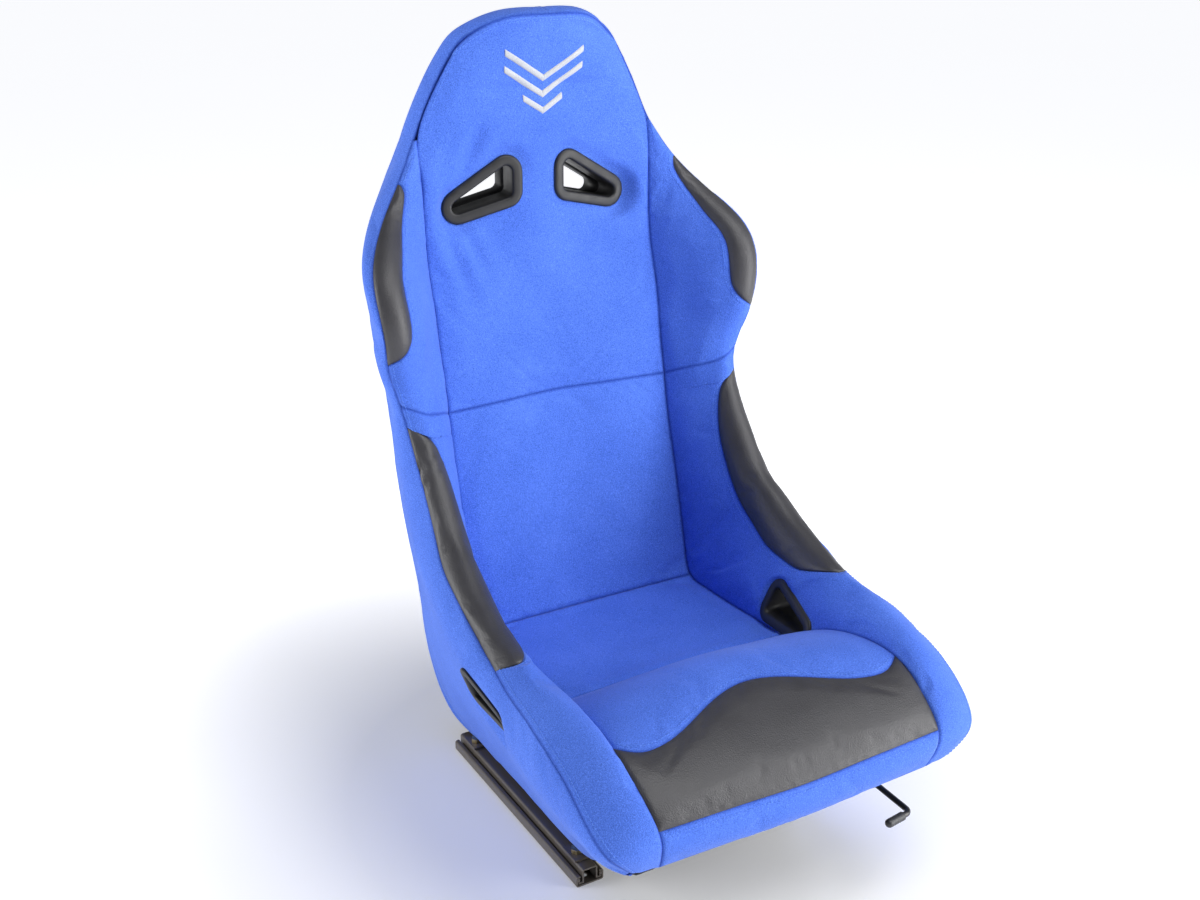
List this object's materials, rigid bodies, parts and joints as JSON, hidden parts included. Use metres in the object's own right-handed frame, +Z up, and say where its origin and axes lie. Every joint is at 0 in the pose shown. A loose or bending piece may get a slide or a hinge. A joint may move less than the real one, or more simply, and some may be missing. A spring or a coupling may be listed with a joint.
{
  "type": "racing seat",
  "caption": "Fixed-back bucket racing seat in stitched fabric with leatherette inserts, harness openings and slider rails with a release lever.",
  "frame": {"origin": "centre of the four floor bolt holes, on the underside of the lower rails (floor level)", "axes": "+Z up; the seat faces -Y; +X is the sitter's left, the side with the release lever"},
  "size_m": [0.5226, 0.6603, 0.9489],
  "materials": {
    "blue_fabric": "matte",
    "black_leather": "satin",
    "rear_fabric": "matte",
    "foam": "matte",
    "black_plastic": "matte",
    "black_paint": "satin",
    "frame_paint": "satin",
    "zinc": "satin",
    "bare_steel": "satin",
    "grip_rubber": "matte",
    "underside_cloth": "matte"
  },
  "bodies": {
    "floor_rails": {"lower_rail_left": "black_paint", "lower_rail_right": "black_paint", "rail_stops": "black_paint"},
    "ball_train": {"rail_balls": "bare_steel", "rail_rollers": "bare_steel"},
    "seat": {"bezels_shoulder_front": "black_plastic", "bezels_shoulder_rear": "black_plastic", "bezels_side_inner": "black_plastic", "bezels_side_outer": "black_plastic", "cover_back_lower": "blue_fabric", "cover_back_upper": "blue_fabric", "cover_bolster_left": "blue_fabric", "cover_bolster_right": "blue_fabric", "cover_front_roll": "blue_fabric", "cover_front_strip": "blue_fabric", "cover_rear": "rear_fabric", "cover_seat_base": "blue_fabric", "cover_side_left": "blue_fabric", "cover_side_right": "blue_fabric", "cover_underside": "underside_cloth", "cross_strap_front": "black_paint", "cross_strap_rear": "black_paint", "foam_back": "foam", "foam_base": "foam", "foam_front": "foam", "foam_head": "foam", "foam_shoulder_left": "foam", "foam_shoulder_right": "foam", "foam_thigh_left": "foam", "foam_thigh_right": "foam", "frame_back_hoop": "frame_paint", "frame_base_cross": "frame_paint", "frame_cross_lumbar": "frame_paint", "frame_cross_shoulder": "frame_paint", "frame_front_tube": "frame_paint", "frame_member_left": "frame_paint", "frame_member_right": "frame_paint", "frame_screws": "zinc", "frame_side_hoop_left": "frame_paint", "frame_side_hoop_right": "frame_paint", "leather_front_insert": "black_leather", "leather_shoulder_left": "black_leather", "leather_shoulder_right": "black_leather", "leather_thigh_left": "black_leather", "leather_thigh_right": "black_leather", "lever_bracket": "black_paint", "lever_pin": "zinc", "lever_spring": "bare_steel", "rail_bolts": "zinc", "rail_weld_nuts": "zinc", "springs_back": "bare_steel", "springs_base": "bare_steel", "upper_rail_left": "black_paint", "upper_rail_right": "black_paint"},
    "release_lever": {"latch_plate": "bare_steel", "lever_rod": "black_paint", "lever_grip": "grip_rubber"}
  },
  "joints": [
    {"name": "seat_slide", "type": "slide", "parent": "floor_rails", "child": "seat", "axis": [0, -1, 0], "range_m": [-0.08, 0.08]},
    {"name": "ball_slide", "type": "slide", "parent": "floor_rails", "child": "ball_train", "axis": [0, -1, 0], "range_m": [-0.04, 0.04]},
    {"name": "release_lever_pivot", "type": "hinge", "parent": "seat", "child": "release_lever", "pos_m": [0.155, -0.095, 0.034], "axis": [-1, 0, 0], "range_deg": [0, 3], "stiffness_Nm_per_rad": 1.5, "springref_deg": -11.46}
  ],
  "couplings": [
    {"joint": "ball_slide", "follows": "seat_slide", "ratio": 0.5}
  ]
}
